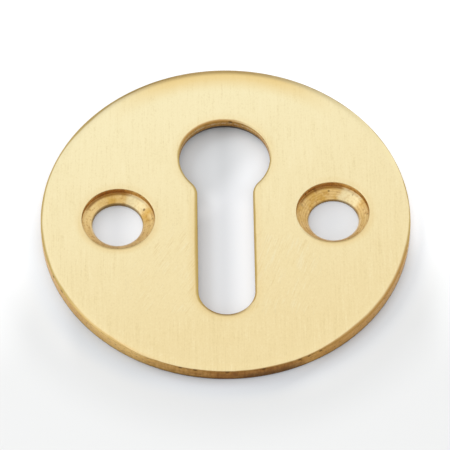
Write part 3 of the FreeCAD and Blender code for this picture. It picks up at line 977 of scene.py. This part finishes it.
def paper_floor():
    """Matt white paper. It takes the plate's soft shadow, and glows a little to the eye, so that it reads as
    white; the glow is painted light, uneven so that it shapes that shadow. Its colour is a little cooler in
    the shadow, and has painted shadow under the keyhole's head and near the plate's left."""
    made, tree, place = new_material("white_paper_floor")
    x, y, _ = node(tree, PARTS, place).node.outputs
    radius = length_of(tree, x, y)
    outside = node(tree, FADE, radius, 13.0, 16.0)
    in_head = product(tree, node(tree, FADE, y, -1.0, 4.0), node(tree, MINUS, 1.0, outside))
    # A painted cool tint where the plate's shadow falls.
    shadow = node(tree, FADE, radius, 20.5, 17.6)
    # Painted shadow on the paper near the plate's left.
    near_left = product(
        tree, spot(tree, place, (-11.2, -13.6, 0.0), 3.0, 8.0),
        node(tree, FADE, radius, 20.5, 18.3, 0.0, 0.3))
    from_head = total(tree, x, product(tree, node(tree, MINUS, y, HEAD_Y), -0.8))
    # Painted shadow under the keyhole's head.
    head_shade = product(tree, in_head, node(tree, FADE, from_head, 3.5, 0.0))
    around = layered(tree, linear("#DCDDDD"), (shadow, "#D5DAE0"), (near_left, "#BDC1C6"))
    colour = layered(tree, node(tree, TINT, outside, linear("#D9DBDE"), around), (head_shade, "#C8CACC"))

    rays = node(tree, RAY_KINDS).node.outputs
    seen = total(tree, rays["Is Camera Ray"], rays["Is Glossy Ray"], rays["Is Transmission Ray"])
    # The paper's glow is painted light, uneven round the plate and in its openings.
    glow = node(tree, BLEND, outside, glow_in_openings(tree, place, in_head), glow_round_plate(tree, place))
    surface = node(
        tree, SURFACE, Base_Color=colour, Metallic=0.0, Roughness=0.9, Specular_IOR_Level=0.1,
        Emission_Color=linear("#FFFFFF"),
        Emission_Strength=product(tree, node(tree, LESSER, seen, 1.0), glow))
    node(tree, MATERIAL_RESULT, surface)
    return made


floor_mesh = bpy.data.meshes.new("paper_floor")
corners = FLOOR_HALF_WIDTH * np.array([(-1, -1, 0), (1, -1, 0), (1, 1, 0), (-1, 1, 0)])
floor_mesh.from_pydata(corners.tolist(), [], [(0, 1, 2, 3)])
floor = bpy.data.objects.new("paper_floor", floor_mesh)
bpy.context.scene.collection.objects.link(floor)
floor.data.materials.append(paper_floor())


# ---- light ----

def soft_patch(tree, direction, middle, inner, outer, strength):
    """Strength of a round soft patch of the room: full within inner degrees of its middle, none beyond
    outer."""
    near = node(tree, COSINE_BETWEEN, direction, tuple(Vector(middle).normalized()))
    return node(tree, FADE, near, math.cos(math.radians(outer)), math.cos(math.radians(inner)), 0.0, strength)


def studio_world():
    """A pale room, brightest overhead and behind the plate.

    A softbox on the left shines in the screw seats, a pale wall stands low in front, and a warm dark gap
    low behind the plate is what its far edge mirrors.
    """
    world = bpy.data.worlds.new("studio_room")
    bpy.context.scene.world = world
    world.use_nodes = True
    tree = world.node_tree
    tree.nodes.clear()
    direction = node(tree, COORDINATES).node.outputs["Generated"]
    _, y, z = node(tree, PARTS, direction).node.outputs
    lit = total(
        tree, node(tree, FADE, total(tree, z, product(tree, y, 0.45)), -0.45, 0.85, 0.3, 1.03),
        soft_patch(tree, direction, (-0.85, -0.05, 0.5), 10, 30, 0.45),
        soft_patch(tree, direction, (0.0, -0.97, 0.2), 15, 52, 0.2))
    gap = soft_patch(tree, direction, (0.0, 0.96, 0.28), 6, 26, 1.0)
    colour = node(tree, TINT, gap, (1.0, 1.0, 1.0, 1.0), (0.35, 0.3, 0.25, 1.0))
    node(tree, ROOM_RESULT, node(tree, ROOM_GLOW, colour, lit))


def softbox(name, place, aim, size, power):
    """A square lamp, size metres wide, turned to face aim. It lights the paper and casts the plate's
    shadow, and the metal's reflections come from the room alone."""
    lamp = bpy.data.lights.new(name, "AREA")
    lamp.shape = "SQUARE"
    lamp.size = size
    lamp.energy = power
    holder = bpy.data.objects.new(name, lamp)
    holder.location = place
    holder.rotation_euler = (Vector(aim) - Vector(place)).to_track_quat("-Z", "Y").to_euler()
    holder.visible_glossy = False
    bpy.context.scene.collection.objects.link(holder)


studio_world()
softbox("left_softbox", place=(-0.6, 0.34, 0.44), aim=(0, 0, 0), size=0.4, power=2.8)


# ---- camera ----

# The camera stands 315 mm from the plate, 54.7 degrees above the table and a little left of the
# keyhole's axis.
CAMERA_AZIMUTH = math.radians(-0.834)
CAMERA_ELEVATION = math.radians(54.667)
CAMERA_DISTANCE = 0.315
CAMERA_AIM = Vector((-0.057, -0.112, 0.0)) * MM
# Focal length and width of the frame, in the frame's pixels.
FOCAL_PIXELS = 3319.09
FRAME_PIXELS = 450
SENSOR_WIDTH = 36.0

out = Vector((
    math.sin(CAMERA_AZIMUTH) * math.cos(CAMERA_ELEVATION),
    -math.cos(CAMERA_AZIMUTH) * math.cos(CAMERA_ELEVATION),
    math.sin(CAMERA_ELEVATION),
))
right = (-out).cross(Vector((0, 0, 1))).normalized()
up = right.cross(-out)
camera_data = bpy.data.cameras.new("studio_camera")
camera_data.sensor_width = SENSOR_WIDTH
camera_data.lens = SENSOR_WIDTH * (FOCAL_PIXELS / FRAME_PIXELS)
camera_data.clip_start = 0.01
camera_data.clip_end = 10.0
camera = bpy.data.objects.new("studio_camera", camera_data)
turn = Matrix((right, up, out)).transposed().to_4x4()
camera.matrix_world = Matrix.Translation(CAMERA_AIM + CAMERA_DISTANCE * out) @ turn
bpy.context.scene.collection.objects.link(camera)
bpy.context.scene.camera = camera

bpy.context.scene.view_settings.view_transform = "Standard"

bpy.context.view_layer.update()
